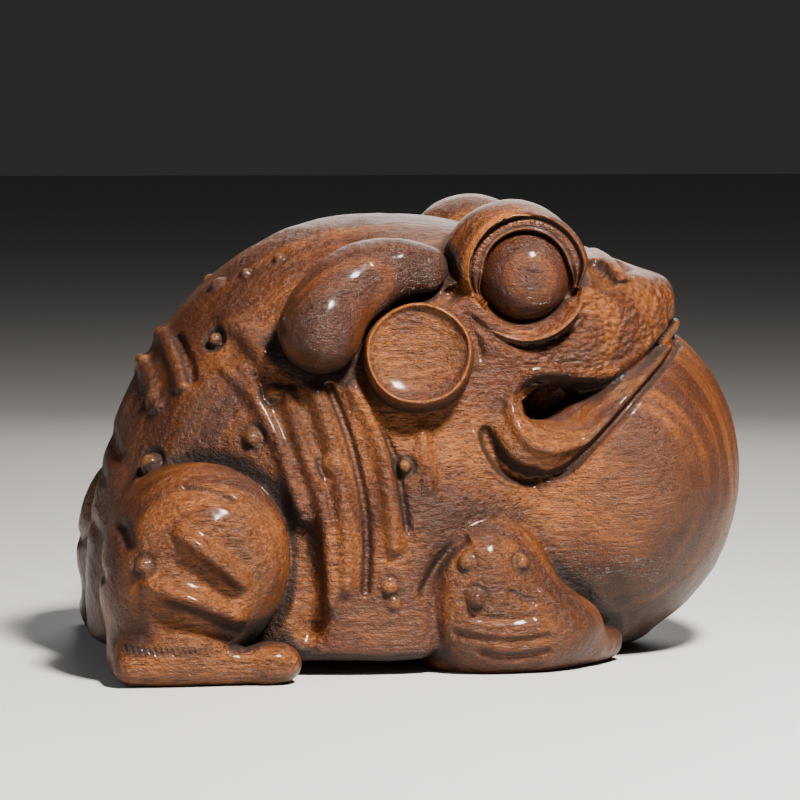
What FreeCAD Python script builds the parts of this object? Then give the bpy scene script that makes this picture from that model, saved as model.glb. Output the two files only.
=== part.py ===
"""A carved wooden toad that sits on a table: a hand piece cut from one block, as a parametric document.

Millimetres. The toad looks along +X and +Z is up. The origin is on the table, under the middle of its box.
Each carved form of the block is a solid of its own, and neighbours meet face to face.
The toad's right side (-Y) is modelled, and its left side is a mirror image of it.
"""

import FreeCAD, Part
import math
import os
import Sketcher
from FreeCAD import Placement, Rotation, Vector

OUT_FOLDER = "parts"
FORWARD = Vector(1, 0, 0)
SIDE = Vector(0, 1, 0)
UP = Vector(0, 0, 1)
OUTWARD = Vector(0.3, -1, 0.2)

# The driving dimensions: alias, millimetres or degrees, and what it is.
DIMENSIONS = [
    ("body_length", 80.0, "rump to vocal sac"),
    ("torso_half_length", 34.0, "torso semi-axis along X"),
    ("torso_half_width", 24.0, "torso semi-axis along Y"),
    ("torso_half_height", 44.2, "torso semi-axis along Z"),
    ("torso_centre_z", 8.0, "height of the torso's widest level"),
    ("belly_gap", 1.5, "belly above the table"),
    ("torso_front", 12.0, "where the torso ends inside the head and sac"),
    ("sac_half_length", 18.0, "vocal sac semi-axis along X"),
    ("sac_half_width", 20.5, "vocal sac semi-axis along Y"),
    ("sac_half_height", 20.6, "vocal sac semi-axis along Z"),
    ("sac_gap", 0.3, "vocal sac above the table"),
    ("jaw_drop", 3.6, "lower jaw below the upper"),
    ("jaw_reach", 0.9, "lower jaw ahead of the upper"),
    ("eye_x", 10.9, "eyeball centre along X"),
    ("eye_y", 15.4, "eyeball centre from the mid-plane"),
    ("eye_z", 45.3, "eyeball centre height"),
    ("eye_radius", 6.0, "eyeball"),
    ("brow_half_length", 8.0, "brow semi-axis along X"),
    ("brow_half_width", 8.6, "brow semi-axis along Y"),
    ("brow_half_height", 8.7, "brow semi-axis along Z"),
    ("brow_inset", 2.4, "brow centre inboard of the eyeball's"),
    ("brow_open", 3.6, "brow's cut face outboard of the eyeball centre"),
    ("brow_low", 1.2, "brow's lower end below the eyeball centre"),
    ("lid_arc", 6.5, "lower lid's arc radius"),
    ("lid_tube", 0.9, "lower lid's half thickness"),
    ("lid_out", 1.6, "lower lid outboard of the eyeball centre"),
    ("ear_x", -2.3, "eardrum centre along X"),
    ("ear_y", 19.4, "eardrum's back from the mid-plane"),
    ("ear_z", 36.3, "eardrum centre height"),
    ("ear_radius", 6.6, "eardrum rim"),
    ("ear_rim", 0.8, "eardrum rim width"),
    ("ear_height", 3.6, "eardrum rim above its back"),
    ("ear_dish", 1.3, "depth of the eardrum's dished face"),
    ("ear_tilt", 14.0, "eardrum leans back, degrees"),
    ("gland_arc", 11.8, "gland centreline about the eardrum's centre"),
    ("gland_tube", 3.7, "gland's half thickness"),
    ("gland_rear_end", 4.2, "gland's rear end radius"),
    ("gland_start", 78.0, "gland's front end above the horizontal, degrees"),
    ("gland_sweep", 92.0, "gland's arc, degrees"),
    ("gland_y", 20.6, "gland's arc plane from the mid-plane, at the eardrum's height"),
    ("gland_tilt", 22.0, "gland leans with the back, degrees"),
    ("lobe_x", 11.6, "jaw lobe centre along X"),
    ("lobe_y", 16.4, "jaw lobe centre from the mid-plane"),
    ("lobe_z", 26.9, "jaw lobe centre height"),
    ("lobe_half_length", 6.4, "jaw lobe semi-axis along X"),
    ("lobe_half_width", 4.2, "jaw lobe semi-axis along Y"),
    ("lobe_half_height", 4.6, "jaw lobe semi-axis along Z"),
    ("thigh_x", -27.6, "thigh centre along X"),
    ("thigh_y", 17.4, "thigh centre from the mid-plane"),
    ("thigh_z", 13.6, "thigh centre height"),
    ("thigh_half_length", 11.8, "thigh semi-axis along X"),
    ("thigh_half_width", 11.6, "thigh semi-axis along Y"),
    ("thigh_half_height", 11.2, "thigh semi-axis along Z"),
    ("arm_x", 5.4, "foreleg centre along X"),
    ("arm_y", 17.6, "foreleg centre from the mid-plane"),
    ("arm_z", 9.6, "foreleg centre height"),
    ("arm_half_length", 9.2, "foreleg semi-axis along X"),
    ("arm_half_width", 8.0, "foreleg semi-axis along Y"),
    ("arm_half_height", 9.4, "foreleg semi-axis along Z"),
    ("hind_heel", -38.0, "heel of the hind foot along X"),
    ("hind_toes", -16.8, "toe tips of the hind foot along X"),
    ("hind_inner", 17.4, "inner edge of the hind foot"),
    ("hind_outer", 28.6, "outer edge of the hind foot"),
    ("hind_height", 4.6, "thickness of the hind foot"),
    ("fore_heel", -1.6, "heel of the forefoot along X"),
    ("fore_toes", 19.4, "toe tips of the forefoot along X"),
    ("fore_inner", 14.0, "inner edge of the forefoot"),
    ("fore_outer", 25.2, "outer edge of the forefoot"),
    ("fore_height", 4.4, "thickness of the forefoot"),
    ("foot_corner", 3.0, "rounded corners of a foot in plan"),
    ("foot_round", 1.6, "rounding of a foot's upper edges"),
    ("toe_gap", 1.1, "gap between two toes"),
    ("toe_length", 4.4, "free length of a toe"),
    ("toe_count", 4.0, "toes on each foot"),
    ("fold_tube", 1.3, "skin fold's half thickness"),
    ("ridge_half_length", 2.6, "back ridge semi-axis along the back"),
    ("ridge_half_width", 0.8, "back ridge semi-axis across"),
]

# The head's stations from neck to snout: X, centre height, half width and half height.
HEAD_STATIONS = [
    (1.5, 39.6, 19.0, 12.2),
    (9.0, 41.0, 19.6, 10.6),
    (17.0, 40.8, 17.6, 8.8),
    (24.0, 41.6, 13.2, 6.2),
    (29.5, 42.4, 8.4, 3.5),
    (32.2, 42.7, 4.2, 1.6),
]

# Warts on the right flank: X, height and radius.
FLANK_WARTS = [
    (-20.4, 36.6, 1.3),
    (-18.5, 30.0, 1.1),
    (-22.5, 27.2, 1.2),
    (-27.0, 33.0, 1.3),
    (-21.0, 42.5, 1.0),
    (-31.5, 27.5, 1.4),
    (-3.5, 24.5, 1.2),
]

# Warts on the right thigh and foreleg: X, height and radius.
THIGH_WARTS = [(-34.5, 14.5, 1.1), (-24.5, 20.5, 1.0)]
ARM_WARTS = [(2.8, 12.8, 1.1), (8.6, 12.6, 1.1), (4.4, 8.6, 1.2)]

# Skin folds that hang down the right flank: X, height and half length of each, and its lean in degrees.
NECK_FOLDS = [
    (-13.4, 21.0, 11.5, 9.0),
    (-9.8, 19.0, 10.5, 8.0),
    (-6.3, 21.5, 6.5, 10.0),
]

# Short ridges on the rear of the back: X, height and slope in degrees.
BACK_RIDGES = [
    (-24.5, 38.0, 58.0),
    (-28.5, 35.5, 64.0),
    (-31.0, 31.0, 70.0),
    (-34.5, 24.5, 77.0),
]

# The forms on each side that are taken out of the head, lower jaw, vocal sac and torso.
HEAD_NEIGHBOURS = ["eyeball", "upper_lid", "lower_lid", "eardrum", "ear_gland", "jaw_lobe"]
JAW_NEIGHBOURS = ["jaw_lobe", "lower_lid", "eyeball", "eardrum"]
SAC_NEIGHBOURS = ["jaw_lobe", "foreleg", "forefoot"]
TORSO_NEIGHBOURS = [
    "eardrum", "ear_gland", "upper_lid", "jaw_lobe", "thigh", "hind_foot", "foreleg", "forefoot",
]

# The torso's centre along X, with the rump at the rear end of the body.
TORSO_X = "(dims.torso_half_length - dims.body_length / 2)"

# How far a direction may stray from upright, as a sine, and still count as upright.
STRAIGHT = 0.01

# Sketcher's numbers for the ends and centre of an edge, and for the origin and the vertical axis.
FIRST, LAST, MIDDLE = 1, 2, 3
ORIGIN = (-1, 1)
VERTICAL_AXIS = -2


def name_values(name, words, table):
    """Rows of the sheet for a repeated form: one alias for each value of each item."""
    rows = []
    for i, item in enumerate(table, 1):
        for word, value in zip(words, item):
            rows.append((f"{name}_{word}_{i}", value, f"{name} {i}, {word}"))
    return rows


def sheet_rows():
    rows = list(DIMENSIONS)
    rows += name_values("head", ("along", "height", "half_width", "half_height"), HEAD_STATIONS)
    for name, table in (("flank", FLANK_WARTS), ("thigh", THIGH_WARTS), ("arm", ARM_WARTS)):
        rows += name_values(f"{name}_wart", ("along", "height", "radius"), table)
    rows += name_values("fold", ("along", "height", "half_length", "lean"), NECK_FOLDS)
    rows += name_values("ridge", ("along", "height", "slope"), BACK_RIDGES)
    return rows


def make_sheet(doc):
    sheet = doc.addObject("Spreadsheet::Sheet", "dims")
    for row, (alias, value, meaning) in enumerate(sheet_rows(), 1):
        sheet.set(f"A{row}", meaning)
        sheet.set(f"B{row}", str(value))
        sheet.setAlias(f"B{row}", alias)
    doc.recompute()
    return sheet


class Builder:
    """Adds objects to the document and binds them to the sheet."""

    def __init__(self, doc, sheet):
        self.doc = doc
        self.sheet = sheet

    def value(self, alias):
        return float(self.sheet.get(alias))

    def bind(self, obj, **expressions):
        """Binds properties, where x, y, z are the place and angle is the turn."""
        paths = {axis: f"Placement.Base.{axis}" for axis in "xyz"}
        paths["angle"] = "Placement.Rotation.Angle"
        for name, expression in expressions.items():
            obj.setExpression(paths.get(name, name), expression)
        return obj

    def ellipsoid(self, name, half_length, half_width, half_height, **place):
        obj = self.doc.addObject("Part::Ellipsoid", name)
        return self.bind(obj, Radius1=half_height, Radius2=half_length, Radius3=half_width, **place)

    def sphere(self, name, radius, **place):
        return self.bind(self.doc.addObject("Part::Sphere", name), Radius=radius, **place)

    def box(self, name, length, width, height, **place):
        obj = self.doc.addObject("Part::Box", name)
        return self.bind(obj, Length=length, Width=width, Height=height, **place)

    def cut(self, name, base, tool):
        obj = self.doc.addObject("Part::Cut", name)
        obj.Base = base
        obj.Tool = tool
        return obj

    def cut_each(self, name, base, tools):
        """Takes the tools off one at a time, which keeps every cut simple."""
        for tool in tools[:-1]:
            base = self.cut(f"{name}_less_{tool.Name}", base, tool)
        return self.cut(name, base, tools[-1])

    def common(self, name, base, tool):
        obj = self.doc.addObject("Part::Common", name)
        obj.Base = base
        obj.Tool = tool
        return obj

    def fuse(self, name, shapes):
        obj = self.doc.addObject("Part::MultiFuse", name)
        obj.Shapes = shapes
        return obj

    def raised(self, name, forms, base):
        """A group of small forms, of which only what stands out of the base is kept."""
        group = self.doc.addObject("Part::Compound", name)
        group.Links = [self.cut(f"{form.Name}_raised", form, base) for form in forms]
        return group

    def mirror(self, name, source):
        obj = self.doc.addObject("Part::Mirroring", name)
        obj.Source = source
        obj.Normal = SIDE
        return obj


def surface_y(form, along, height, centre_x, centre_y):
    """An expression for the Y of a right-hand ellipsoid's outer face at a given X and height."""
    centre_z = "dims.torso_centre_z" if form == "torso" else f"dims.{form}_z"
    x_part = f"(({along} - {centre_x}) / dims.{form}_half_length)^2"
    z_part = f"(({height} - {centre_z}) / dims.{form}_half_height)^2"
    return f"-{centre_y} - dims.{form}_half_width * sqrt(1 - {x_part} - {z_part})"


def torso_block(b):
    mass = b.ellipsoid(
        "torso_mass", "dims.torso_half_length", "dims.torso_half_width", "dims.torso_half_height",
        x="dims.torso_half_length - dims.body_length / 2", z="dims.torso_centre_z",
    )
    above = b.box(
        "above_belly", "dims.body_length + dims.torso_front", "dims.body_length * 2", "dims.body_length",
        x="-dims.body_length", y="-dims.body_length", z="dims.belly_gap",
    )
    return b.common("torso_block", mass, above)


def head_block(b):
    """The skull and snout: a loft through upright ellipses."""
    sections = []
    for i in range(1, len(HEAD_STATIONS) + 1):
        station = b.doc.addObject("Part::Ellipse", f"head_station_{i}")
        # Its long axis lies across the head and its short axis stands up.
        station.Placement = Placement(Vector(), Rotation(SIDE, UP, FORWARD))
        b.bind(
            station, MajorRadius=f"dims.head_half_width_{i}", MinorRadius=f"dims.head_half_height_{i}",
            x=f"dims.head_along_{i}", z=f"dims.head_height_{i}",
        )
        sections.append(station)
    loft = b.doc.addObject("Part::Loft", "head_block")
    loft.Sections = sections
    loft.Solid = True
    return loft


def jaw_block(b, head):
    """The upper jaw's form moved down and forward."""
    copy = b.doc.addObject("Part::Compound", "jaw_block")
    copy.Links = [head]
    return b.bind(copy, x="dims.jaw_reach", z="-dims.jaw_drop")


def sac_block(b):
    return b.ellipsoid(
        "sac_block", "dims.sac_half_length", "dims.sac_half_width", "dims.sac_half_height",
        x="dims.body_length / 2 - dims.sac_half_length", z="dims.sac_half_height + dims.sac_gap",
    )


def eyeball(b):
    return b.sphere("right_eyeball", "dims.eye_radius", x="dims.eye_x", y="-dims.eye_y", z="dims.eye_z")


def brow(b, eye):
    """A dome over the eyeball, cut off flat at its outer face and open below."""
    dome = b.ellipsoid(
        "brow_dome", "dims.brow_half_length", "dims.brow_half_width", "dims.brow_half_height",
        x="dims.eye_x", y="dims.brow_inset - dims.eye_y", z="dims.eye_z",
    )
    keep = b.box(
        "brow_keep", "dims.brow_half_length * 2", "dims.brow_half_width + dims.brow_inset + dims.brow_open",
        "dims.brow_half_height * 2",
        x="dims.eye_x - dims.brow_half_length", y="-dims.eye_y - dims.brow_open",
        z="dims.eye_z - dims.brow_low",
    )
    return b.cut("right_upper_lid", b.common("brow_cut", dome, keep), eye)


def lower_lid(b, eye, upper):
    """A thin roll along the lower half of the eyeball."""
    roll = b.doc.addObject("Part::Torus", "lid_roll")
    roll.Placement = Placement(Vector(), Rotation(FORWARD, 90) * Rotation(UP, 180))
    b.bind(
        roll, Radius1="dims.lid_arc", Radius2="dims.lid_tube", Angle3="180",
        x="dims.eye_x", y="-dims.eye_y - dims.lid_out", z="dims.eye_z",
    )
    return b.cut("right_lower_lid", roll, b.fuse("eye_and_brow", [eye, upper]))


def origin_plane(body, role):
    return next(f for f in body.Origin.OriginFeatures if f.Role == role)


def new_sketch(body, name, role):
    sketch = body.newObject("Sketcher::SketchObject", name)
    sketch.AttachmentSupport = [(origin_plane(body, role), "")]
    sketch.MapMode = "FlatFace"
    return sketch


def name_length(sketch, kind, ends, name, expression):
    """Adds a named length to a sketch, as drawn, and binds it to the sheet."""
    start, end = sketch.getPoint(*ends[:2]), sketch.getPoint(*ends[2:])
    drawn = end.x - start.x if kind == "DistanceX" else end.y - start.y
    index = sketch.addConstraint(Sketcher.Constraint(kind, *ends, drawn))
    sketch.renameConstraint(index, name)
    sketch.setExpression(f"Constraints.{name}", expression)


def add_rectangle(sketch, low, high):
    """Four lines joined end to end, counted from the lower one, between two opposite corners."""
    corners = [low, Vector(high.x, low.y, 0), high, Vector(low.x, high.y, 0)]
    sides = len(corners)
    for i, corner in enumerate(corners):
        sketch.addGeometry(Part.LineSegment(corner, corners[(i + 1) % sides]))
    for i in range(sides):
        sketch.addConstraint(Sketcher.Constraint("Coincident", i, LAST, (i + 1) % sides, FIRST))
        sketch.addConstraint(Sketcher.Constraint("Vertical" if i % 2 else "Horizontal", i))


def place_rectangle(sketch, length, width, near_x, near_y):
    """Binds a rectangle's two lengths and the place of its first corner."""
    bottom, side = 0, 1
    name_length(sketch, "DistanceX", (bottom, FIRST, bottom, LAST), "length", length)
    name_length(sketch, "DistanceY", (side, FIRST, side, LAST), "width", width)
    name_length(sketch, "DistanceX", (*ORIGIN, bottom, FIRST), "near_x", near_x)
    name_length(sketch, "DistanceY", (*ORIGIN, bottom, FIRST), "near_y", near_y)


def eardrum(b):
    """A round plug with a raised rim and a dished face, turned about its own axis."""
    body = b.doc.addObject("PartDesign::Body", "right_eardrum")
    body.Placement = Placement(Vector(), Rotation(FORWARD, 90))
    b.bind(
        body, x="dims.ear_x", y="-dims.ear_y", z="dims.ear_z", angle="90 - dims.ear_tilt",
    )
    profile = new_sketch(body, "eardrum_profile", "XZ_Plane")
    radius, rim = b.value("ear_radius"), b.value("ear_rim")
    height, dish = b.value("ear_height"), b.value("ear_dish")
    corners = [(0, 0), (radius, 0), (radius, height), (radius - rim, height)]
    points = [Vector(x, z, 0) for x, z in corners]
    for start, end in zip(points, points[1:]):
        profile.addGeometry(Part.LineSegment(start, end))
    inner = radius - rim
    bowl = (inner**2 + dish**2) / (2 * dish)
    half_turn = math.asin(inner / bowl)
    centre = Vector(0, height - dish + bowl, 0)
    circle = Part.Circle(centre, UP, bowl)
    profile.addGeometry(Part.ArcOfCircle(circle, -math.pi / 2, -math.pi / 2 + half_turn))
    profile.addGeometry(Part.LineSegment(Vector(0, height - dish, 0), Vector()))
    base, wall, lip, face, axis = range(5)
    join = [
        ("Coincident", base, FIRST, *ORIGIN), ("Coincident", base, LAST, wall, FIRST),
        ("Coincident", wall, LAST, lip, FIRST), ("Coincident", lip, LAST, face, LAST),
        ("Coincident", face, FIRST, axis, FIRST), ("Coincident", axis, LAST, *ORIGIN),
        ("Horizontal", base), ("Vertical", wall), ("Horizontal", lip), ("Vertical", axis),
        ("PointOnObject", face, MIDDLE, VERTICAL_AXIS),
    ]
    for constraint in join:
        profile.addConstraint(Sketcher.Constraint(*constraint))
    name_length(profile, "DistanceX", (base, FIRST, base, LAST), "radius", "dims.ear_radius")
    name_length(profile, "DistanceY", (wall, FIRST, wall, LAST), "height", "dims.ear_height")
    name_length(profile, "DistanceX", (lip, LAST, lip, FIRST), "rim", "dims.ear_rim")
    name_length(profile, "DistanceY", (face, FIRST, face, LAST), "dish", "dims.ear_dish")
    turned = body.newObject("PartDesign::Revolution", "eardrum_turned")
    turned.Profile = profile
    turned.ReferenceAxis = (profile, ["V_Axis"])
    turned.Angle = 360
    return body


def gland(b, upper, ear):
    """The kidney-shaped gland that curves round the eardrum: a bent roll with rounded ends."""
    roll = b.doc.addObject("Part::Torus", "gland_roll")
    start = b.value("gland_start")
    # The arc's plane leans inward with height, about an axis along X.
    roll.Placement = Placement(
        Vector(), Rotation(FORWARD, 90 - b.value("gland_tilt")) * Rotation(UP, start)
    )
    b.bind(
        roll, Radius1="dims.gland_arc", Radius2="dims.gland_tube", Angle3="dims.gland_sweep",
        x="dims.ear_x", y="-dims.gland_y", z="dims.ear_z",
    )
    parts = [roll]
    ends = [
        ("gland_front", "dims.gland_tube", "dims.gland_start"),
        ("gland_rear", "dims.gland_rear_end", "(dims.gland_start + dims.gland_sweep)"),
    ]
    for name, radius, turn in ends:
        rise = f"dims.gland_arc * sin({turn})"
        parts.append(b.sphere(
            name, radius, x=f"dims.ear_x + dims.gland_arc * cos({turn})",
            y=f"-dims.gland_y + {rise} * sin(dims.gland_tilt)", z=f"dims.ear_z + {rise} * cos(dims.gland_tilt)",
        ))
    return b.cut("right_ear_gland", b.fuse("gland_whole", parts), b.fuse("gland_limits", [upper, ear]))


def jaw_lobe(b):
    return b.ellipsoid(
        "right_jaw_lobe", "dims.lobe_half_length", "dims.lobe_half_width", "dims.lobe_half_height",
        x="dims.lobe_x", y="-dims.lobe_y", z="dims.lobe_z",
    )


def foot(b, name, form):
    """A flat foot: a rounded slab whose front edge is notched into toes."""
    body = b.doc.addObject("PartDesign::Body", name)
    sole = new_sketch(body, f"{form}_sole", "XY_Plane")
    heel_outer = Vector(b.value(f"{form}_heel"), -b.value(f"{form}_outer"), 0)
    toes_inner = Vector(b.value(f"{form}_toes"), -b.value(f"{form}_inner"), 0)
    add_rectangle(sole, heel_outer, toes_inner)
    place_rectangle(
        sole, f"dims.{form}_toes - dims.{form}_heel", f"dims.{form}_outer - dims.{form}_inner",
        f"dims.{form}_heel", f"-dims.{form}_outer",
    )
    slab = body.newObject("PartDesign::Pad", f"{form}_slab")
    slab.Profile = sole
    slab.setExpression("Length", f"dims.{form}_height")
    b.doc.recompute()
    upright = [
        f"Edge{i}" for i, e in enumerate(slab.Shape.Edges, 1)
        if e.tangentAt(e.FirstParameter).cross(UP).Length < STRAIGHT
    ]
    corners_round = body.newObject("PartDesign::Fillet", f"{form}_corners")
    corners_round.Base = (slab, upright)
    corners_round.setExpression("Radius", "dims.foot_corner")
    b.doc.recompute()
    height = b.value(f"{form}_height")
    top = [
        f"Edge{i}" for i, e in enumerate(corners_round.Shape.Edges, 1)
        if min(v.Z for v in e.Vertexes) > height / 2
    ]
    top_round = body.newObject("PartDesign::Fillet", f"{form}_top")
    top_round.Base = (corners_round, top)
    top_round.setExpression("Radius", "dims.foot_round")
    b.doc.recompute()
    notch_toes(b, body, form, top_round)
    return body


def notch_toes(b, body, form, top_round):
    """Cuts a slot between the first two toes and repeats it across the foot."""
    gaps = int(b.value("toe_count")) - 1
    step = f"(dims.{form}_outer - dims.{form}_inner) / dims.toe_count"
    slot = new_sketch(body, f"{form}_toe_slot", "XY_Plane")
    toes, length, gap = b.value(f"{form}_toes"), b.value("toe_length"), b.value("toe_gap")
    width = (b.value(f"{form}_outer") - b.value(f"{form}_inner")) / b.value("toe_count")
    middle = width - b.value(f"{form}_outer")
    add_rectangle(slot, Vector(toes - length, middle - gap / 2, 0), Vector(toes + length, middle + gap / 2, 0))
    place_rectangle(
        slot, "dims.toe_length * 2", "dims.toe_gap",
        f"dims.{form}_toes - dims.toe_length", f"-dims.{form}_outer + {step} - dims.toe_gap / 2",
    )
    notch = body.newObject("PartDesign::Pocket", f"{form}_toe_notch")
    notch.Profile = slot
    notch.Type = "ThroughAll"
    notch.Midplane = True
    b.doc.recompute()
    if notch.Shape.Volume >= top_round.Shape.Volume:
        raise RuntimeError(f"{form}: the slot between the toes cuts nothing")
    row = body.newObject("PartDesign::LinearPattern", f"{form}_toes_row")
    row.Originals = [notch]
    row.Direction = (slot, ["V_Axis"])
    row.Occurrences = gaps
    row.setExpression("Length", f"{step} * (dims.toe_count - 2)")
    body.Tip = row


def limb(b, name, form, foot_form):
    """A rounded limb that ends on top of its foot."""
    mass = b.ellipsoid(
        f"{form}_mass", f"dims.{form}_half_length", f"dims.{form}_half_width", f"dims.{form}_half_height",
        x=f"dims.{form}_x", y=f"-dims.{form}_y", z=f"dims.{form}_z",
    )
    foot_space = b.box(
        f"{form}_foot_space", f"dims.{form}_half_length * 2", f"dims.{form}_half_width * 2",
        f"dims.{foot_form}_height * 2",
        x=f"dims.{form}_x - dims.{form}_half_length", y=f"-dims.{form}_y - dims.{form}_half_width",
        z=f"-dims.{foot_form}_height",
    )
    return b.cut(name, mass, foot_space)


def warts(b, name, form, count, base, centre_x, centre_y):
    """Round warts, each half sunk in the surface that it stands on."""
    beads = []
    for i in range(1, count + 1):
        along, height = f"dims.{name}_along_{i}", f"dims.{name}_height_{i}"
        bead = b.doc.addObject("Part::Sphere", f"{name}_{i}")
        # Its poles lie off every axis, because a pole on a seam of the body under it breaks the cut.
        bead.Placement = Placement(Vector(), Rotation(UP, OUTWARD))
        b.bind(
            bead, Radius=f"dims.{name}_radius_{i}", x=along, z=height,
            y=surface_y(form, along, height, centre_x, centre_y),
        )
        beads.append(bead)
    return b.raised(f"right_{name}s", beads, base)


def back_ridges(b, base):
    """Short ridges that run down the rear of the back, half sunk in it."""
    ridges = []
    for i in range(1, len(BACK_RIDGES) + 1):
        along, height = f"dims.ridge_along_{i}", f"dims.ridge_height_{i}"
        ridge = b.ellipsoid(
            f"ridge_{i}", "dims.ridge_half_length", "dims.ridge_half_width", "dims.ridge_half_width",
        )
        ridge.Placement = Placement(Vector(), Rotation(SIDE * -1, 1))
        b.bind(
            ridge, x=along, z=height, y=surface_y("torso", along, height, TORSO_X, "0"),
            angle=f"dims.ridge_slope_{i}",
        )
        ridges.append(ridge)
    return b.raised("right_back_ridges", ridges, base)


def neck_folds(b, base):
    """Rolls of loose skin with round ends that hang down the flank, half sunk in it."""
    rolls = []
    for i in range(1, len(NECK_FOLDS) + 1):
        straight = f"(dims.fold_half_length_{i} - dims.fold_tube)"
        rod = b.doc.addObject("Part::Cylinder", f"fold_rod_{i}")
        b.bind(rod, Radius="dims.fold_tube", Height=f"{straight} * 2", z=f"-{straight}")
        ends = [
            b.sphere(f"fold_{end}_{i}", "dims.fold_tube", z=f"{sign}{straight}")
            for end, sign in (("top", ""), ("foot", "-"))
        ]
        roll = b.fuse(f"fold_{i}", [rod] + ends)
        roll.Refine = True
        along, height = f"dims.fold_along_{i}", f"dims.fold_height_{i}"
        roll.Placement = Placement(Vector(), Rotation(FORWARD * -1, 1))
        b.bind(
            roll, x=along, z=height, y=surface_y("torso", along, height, TORSO_X, "0"),
            angle=f"dims.fold_lean_{i}",
        )
        rolls.append(roll)
    return b.raised("right_neck_folds", rolls, base)


def pick(forms, names):
    """The forms on both sides that have these names."""
    return [form for form in forms if form.Name.split("_", 1)[1] in names]


def check(objects):
    """Stops if any object failed or any shape is empty or broken."""
    for obj in objects:
        if {"Invalid", "Error"} & set(obj.State):
            raise RuntimeError(f"{obj.Label} failed: {obj.State}")


def write(pieces):
    os.makedirs(OUT_FOLDER, exist_ok=True)
    for piece in pieces:
        shape = piece.Shape
        if shape.isNull() or not shape.isValid() or not shape.Solids:
            raise RuntimeError(f"{piece.Label} has no valid solid")
        shape.exportStep(os.path.join(OUT_FOLDER, f"{piece.Label}.step"))
        print(f"{piece.Label:22} {len(shape.Solids)} solids {shape.Volume:10.1f} mm3")


def main():
    doc = FreeCAD.newDocument("toad")
    b = Builder(doc, make_sheet(doc))
    torso, head = torso_block(b), head_block(b)
    eye = eyeball(b)
    upper = brow(b, eye)
    lower = lower_lid(b, eye, upper)
    ear = eardrum(b)
    lobe = jaw_lobe(b)
    glands = gland(b, upper, ear)
    hind, fore = foot(b, "right_hind_foot", "hind"), foot(b, "right_forefoot", "fore")
    leg, arm = limb(b, "right_thigh", "thigh", "hind"), limb(b, "right_foreleg", "arm", "fore")
    right_forms = [eye, upper, lower, ear, glands, lobe, leg, hind, arm, fore]
    right_trim = [
        warts(b, "flank_wart", "torso", len(FLANK_WARTS), torso, TORSO_X, "0"),
        warts(b, "thigh_wart", "thigh", len(THIGH_WARTS), leg, "dims.thigh_x", "dims.thigh_y"),
        warts(b, "arm_wart", "arm", len(ARM_WARTS), arm, "dims.arm_x", "dims.arm_y"),
        neck_folds(b, torso),
        back_ridges(b, torso),
    ]
    left_forms = [b.mirror(form.Name.replace("right", "left"), form) for form in right_forms]
    left_trim = [b.mirror(trim.Name.replace("right", "left"), trim) for trim in right_trim]
    sides = right_forms + left_forms
    jaw_form, sac_form = jaw_block(b, head), sac_block(b)
    skull = b.cut("head", head, b.fuse("head_limits", pick(sides, HEAD_NEIGHBOURS)))
    jaw = b.cut("lower_jaw", jaw_form, b.fuse("jaw_limits", [head] + pick(sides, JAW_NEIGHBOURS)))
    sac = b.cut("vocal_sac", sac_form, b.fuse("sac_limits", [head, jaw_form] + pick(sides, SAC_NEIGHBOURS)))
    trunk = b.cut_each("torso", torso, [sac_form, head, jaw_form] + pick(sides, TORSO_NEIGHBOURS))
    doc.recompute()
    check(doc.Objects)
    write([trunk, skull, jaw, sac] + right_forms + left_forms + right_trim + left_trim)


main()
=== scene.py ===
"""The carved wooden toad's look: a sculpted skin over the CAD frame, polished hardwood, soft studio light.

Shapes are sculpted as a distance field in millimetres, in the frame's own axes: +X the way the toad looks,
+Z up, and "side" the distance from the mid-plane, so that the left half mirrors the right one.
"""

import math

import bpy
import numpy as np
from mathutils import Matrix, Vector


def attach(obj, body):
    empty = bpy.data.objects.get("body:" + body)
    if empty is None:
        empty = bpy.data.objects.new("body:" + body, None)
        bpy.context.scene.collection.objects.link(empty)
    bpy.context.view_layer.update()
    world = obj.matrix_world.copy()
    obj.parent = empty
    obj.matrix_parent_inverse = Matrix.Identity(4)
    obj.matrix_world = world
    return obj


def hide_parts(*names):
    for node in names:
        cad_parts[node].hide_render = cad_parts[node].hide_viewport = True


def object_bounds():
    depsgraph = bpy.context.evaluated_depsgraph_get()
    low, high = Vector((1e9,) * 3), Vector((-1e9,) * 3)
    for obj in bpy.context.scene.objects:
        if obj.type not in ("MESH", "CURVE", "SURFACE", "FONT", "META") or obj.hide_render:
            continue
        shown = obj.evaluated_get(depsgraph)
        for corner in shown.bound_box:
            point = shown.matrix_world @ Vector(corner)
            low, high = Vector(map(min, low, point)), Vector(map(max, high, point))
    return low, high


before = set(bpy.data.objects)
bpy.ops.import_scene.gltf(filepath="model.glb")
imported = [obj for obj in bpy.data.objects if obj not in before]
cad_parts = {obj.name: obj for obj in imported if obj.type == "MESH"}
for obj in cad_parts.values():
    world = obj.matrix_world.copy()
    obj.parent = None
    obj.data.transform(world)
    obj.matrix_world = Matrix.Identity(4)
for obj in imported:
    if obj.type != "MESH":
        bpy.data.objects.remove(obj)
cad_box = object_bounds()
TOAD_LENGTH = 80.0  # sculpting millimetres, rump to vocal sac
MM = (cad_box[1][0] - cad_box[0][0]) / TOAD_LENGTH  # metres in one sculpting millimetre
# Where the sculpting origin lies: on the table, under the middle of the CAD box.
ORIGIN = np.array(((cad_box[0][0] + cad_box[1][0]) / 2, (cad_box[0][1] + cad_box[1][1]) / 2, cad_box[0][2]))

# ---------------------------------------------------------------- sculpting tools


def smooth_min(a, b, k):
    """The union of two forms with a fillet about k wide."""
    h = np.clip(0.5 + 0.5 * (b - a) / k, 0.0, 1.0)
    return b + (a - b) * h - k * h * (1.0 - h)


def smooth_max(a, b, k):
    """The intersection of two forms with a fillet about k wide."""
    return -smooth_min(-a, -b, k)


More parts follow.
